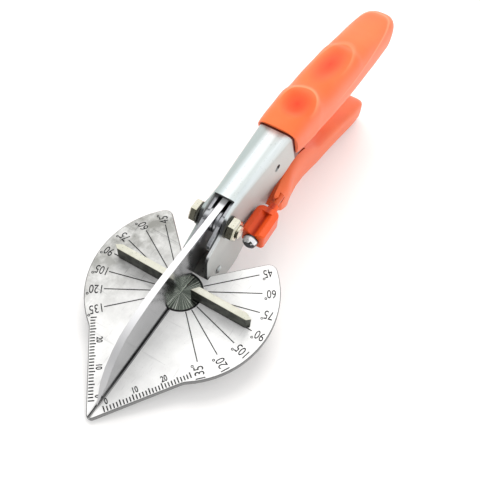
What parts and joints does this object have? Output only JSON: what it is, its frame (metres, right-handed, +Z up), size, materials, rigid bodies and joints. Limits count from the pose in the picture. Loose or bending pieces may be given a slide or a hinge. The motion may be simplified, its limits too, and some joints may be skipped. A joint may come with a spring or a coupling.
{
  "type": "mitre shears",
  "caption": "One-hand mitre shears: a straight blade closes on a heart-shaped angle plate, guided by two bars on a swivelling turntable.",
  "frame": {"origin": "middle of the base of the closed tool's box, on the bench that the plate's tip and the lower grip's end rest on", "axes": "+X along the blade from the handles to the plate's tip, +Y to the right seen from the handles, +Z up; the plate itself dips 13 degrees towards +X"},
  "size_m": [0.2468, 0.0718, 0.0629],
  "materials": {
    "chrome": "bright nickel-chrome plate on pressed steel, fine scratches",
    "steel": "plain bright steel",
    "plate": "satin plated steel with etched black marks",
    "blade": "ground and polished hardened steel",
    "turned": "lathe-turned face, greenish grey",
    "zinc": "yellowish zinc plate",
    "cast": "grey, as sawn",
    "orange": "satin soft plastic, salmon orange",
    "deep_orange": "satin hard plastic, deep orange"
  },
  "bodies": {
    "frame": {"upper_channel": "chrome", "upper_grip": "orange", "angle_plate": "plate", "jaw_block": "cast", "jaw_rivet_1": "chrome", "jaw_rivet_2": "chrome", "plate_screw_1": "steel", "plate_screw_2": "steel", "pivot_bolt": "zinc", "pivot_nut": "zinc", "pivot_washer_left": "zinc", "pivot_washer_right": "zinc", "upper_spring_peg": "steel"},
    "turntable_body": {"turntable": "turned", "fence_bar_right": "zinc", "fence_bar_left": "zinc", "fence_screw_right": "steel", "fence_screw_left": "steel", "turntable_screw": "steel", "turntable_washer": "zinc"},
    "lower_handle": {"lower_channel": "steel", "blade": "blade", "pivot_bush": "steel", "pivot_spacer_left": "steel", "pivot_spacer_right": "steel", "tang_spacer_left": "steel", "tang_spacer_right": "steel", "blade_rivet": "steel", "lower_grip": "orange", "return_spring": "steel", "lower_spring_peg": "steel", "latch_screw": "chrome"},
    "latch": {"latch_knob": "deep_orange"}
  },
  "joints": [
    {"name": "handle_pivot", "type": "hinge", "parent": "frame", "child": "lower_handle", "pos_m": [0.05199, 0, 0.03653], "axis": [0, -1, 0], "range_deg": [0, 24], "deforming": ["return_spring"]},
    {"name": "turntable_swivel", "type": "hinge", "parent": "frame", "child": "turntable_body", "pos_m": [0.07083, 0, 0.01453], "axis": [0.225, 0, 0.9744], "range_deg": [-45, 45]},
    {"name": "latch_slide", "type": "slide", "parent": "lower_handle", "child": "latch", "axis": [0.9744, 0, -0.225], "range_m": [-0.0025, 0]}
  ]
}
